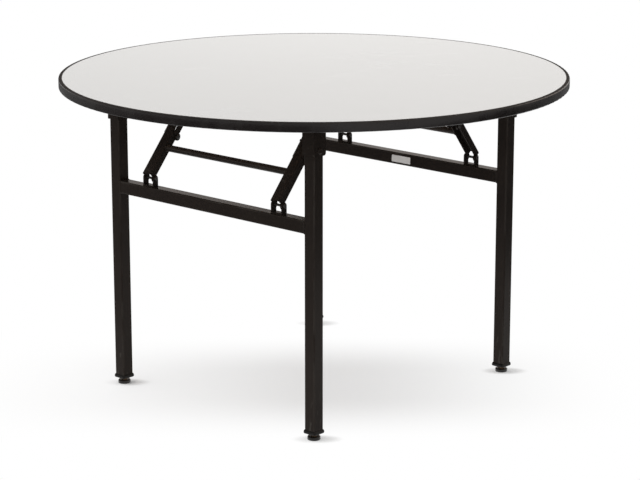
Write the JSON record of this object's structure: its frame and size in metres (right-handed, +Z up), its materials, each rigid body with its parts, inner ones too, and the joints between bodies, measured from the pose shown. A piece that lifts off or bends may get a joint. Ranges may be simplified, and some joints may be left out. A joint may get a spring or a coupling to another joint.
{
  "type": "round folding table",
  "caption": "Round table with a pale laminate top and a dark edge moulding on two square-tube leg frames that fold under the top, locked by jointed knee braces with tie rods.",
  "frame": {"origin": "on the floor, under the middle of the round top", "axes": "+Z up, +X from frame a to frame b along the floor, +Y along the crossbars"},
  "size_m": [1.2, 1.2, 0.75],
  "materials": {
    "laminate": "fine satin",
    "edge_moulding": "satin",
    "core_board": "raw particle board",
    "backing": "matt",
    "frame_steel": "satin powder coat",
    "bracket_steel": "satin powder coat",
    "pin_steel": "dark coating",
    "bright_steel": "zinc plated",
    "black_plastic": "moulded"
  },
  "bodies": {
    "top": {"core_board": "core_board", "top_laminate": "laminate", "backing_sheet": "backing", "edge_moulding": "edge_moulding", "hinge_bracket_a1": "bracket_steel", "hinge_bracket_a2": "bracket_steel", "hinge_pins_a": "pin_steel", "brace_bracket_a1": "bracket_steel", "brace_bracket_a2": "bracket_steel", "brace_pins_a": "pin_steel", "hinge_bracket_b1": "bracket_steel", "hinge_bracket_b2": "bracket_steel", "hinge_pins_b": "pin_steel", "brace_bracket_b1": "bracket_steel", "brace_bracket_b2": "bracket_steel", "brace_pins_b": "pin_steel", "bracket_screws": "bright_steel"},
    "frame_a": {"leg_a1": "frame_steel", "leg_a2": "frame_steel", "crossbar_a": "frame_steel", "lug_a1": "bracket_steel", "lug_a2": "bracket_steel", "lug_pins_a": "pin_steel", "end_caps_a": "black_plastic"},
    "lower_arms_a": {"lower_arm_a1": "bracket_steel", "lower_arm_a2": "bracket_steel", "tie_rod_a": "bracket_steel"},
    "upper_a1": {"upper_arm_a1": "bracket_steel", "knee_rivets_a1": "pin_steel"},
    "upper_a2": {"upper_arm_a2": "bracket_steel", "knee_rivets_a2": "pin_steel"},
    "foot_a1": {"glide_a1": "black_plastic", "stud_a1": "bright_steel"},
    "foot_a2": {"glide_a2": "black_plastic", "stud_a2": "bright_steel"},
    "frame_b": {"leg_b1": "frame_steel", "leg_b2": "frame_steel", "crossbar_b": "frame_steel", "lug_b1": "bracket_steel", "lug_b2": "bracket_steel", "lug_pins_b": "pin_steel", "end_caps_b": "black_plastic"},
    "lower_arms_b": {"lower_arm_b1": "bracket_steel", "lower_arm_b2": "bracket_steel", "tie_rod_b": "bracket_steel"},
    "upper_b1": {"upper_arm_b1": "bracket_steel", "knee_rivets_b1": "pin_steel"},
    "upper_b2": {"upper_arm_b2": "bracket_steel", "knee_rivets_b2": "pin_steel"},
    "foot_b1": {"glide_b1": "black_plastic", "stud_b1": "bright_steel"},
    "foot_b2": {"glide_b2": "black_plastic", "stud_b2": "bright_steel"}
  },
  "joints": [
    {"name": "fold_a", "type": "hinge", "parent": "top", "child": "frame_a", "pos_m": [-0.342, 0, 0.662], "axis": [0, -1, 0], "range_deg": [0, 93.8]},
    {"name": "lower_arms_a_turn", "type": "hinge", "parent": "frame_a", "child": "lower_arms_a", "pos_m": [-0.342, 0, 0.523], "axis": [0, -1, 0], "range_deg": [0, 17.46]},
    {"name": "upper_arm_a1_turn", "type": "hinge", "parent": "top", "child": "upper_a1", "pos_m": [-0.188, -0.205, 0.706], "axis": [0, -1, 0], "range_deg": [-50.99, 0]},
    {"name": "upper_arm_a2_turn", "type": "hinge", "parent": "top", "child": "upper_a2", "pos_m": [-0.188, 0.205, 0.706], "axis": [0, -1, 0], "range_deg": [-50.99, 0]},
    {"name": "foot_a1_height", "type": "slide", "parent": "frame_a", "child": "foot_a1", "axis": [0, 0, -1], "range_m": [0, 0.012]},
    {"name": "foot_a2_height", "type": "slide", "parent": "frame_a", "child": "foot_a2", "axis": [0, 0, -1], "range_m": [0, 0.012]},
    {"name": "fold_b", "type": "hinge", "parent": "top", "child": "frame_b", "pos_m": [0.342, 0, 0.647], "axis": [0, 1, 0], "range_deg": [0, 88.4]},
    {"name": "lower_arms_b_turn", "type": "hinge", "parent": "frame_b", "child": "lower_arms_b", "pos_m": [0.342, 0, 0.523], "axis": [0, 1, 0], "range_deg": [0, 13.74]},
    {"name": "upper_arm_b1_turn", "type": "hinge", "parent": "top", "child": "upper_b1", "pos_m": [0.201, -0.205, 0.706], "axis": [0, 1, 0], "range_deg": [-45.5, 0]},
    {"name": "upper_arm_b2_turn", "type": "hinge", "parent": "top", "child": "upper_b2", "pos_m": [0.201, 0.205, 0.706], "axis": [0, 1, 0], "range_deg": [-45.5, 0]},
    {"name": "foot_b1_height", "type": "slide", "parent": "frame_b", "child": "foot_b1", "axis": [0, 0, -1], "range_m": [0, 0.012]},
    {"name": "foot_b2_height", "type": "slide", "parent": "frame_b", "child": "foot_b2", "axis": [0, 0, -1], "range_m": [0, 0.012]}
  ],
  "couplings": [
    {"joint": "lower_arms_a_turn", "follows": "fold_a", "ratio": 0.1861},
    {"joint": "upper_arm_a1_turn", "follows": "fold_a", "ratio": -0.54359},
    {"joint": "upper_arm_a2_turn", "follows": "fold_a", "ratio": -0.54359},
    {"joint": "lower_arms_b_turn", "follows": "fold_b", "ratio": 0.15541},
    {"joint": "upper_arm_b1_turn", "follows": "fold_b", "ratio": -0.5146},
    {"joint": "upper_arm_b2_turn", "follows": "fold_b", "ratio": -0.5146}
  ]
}
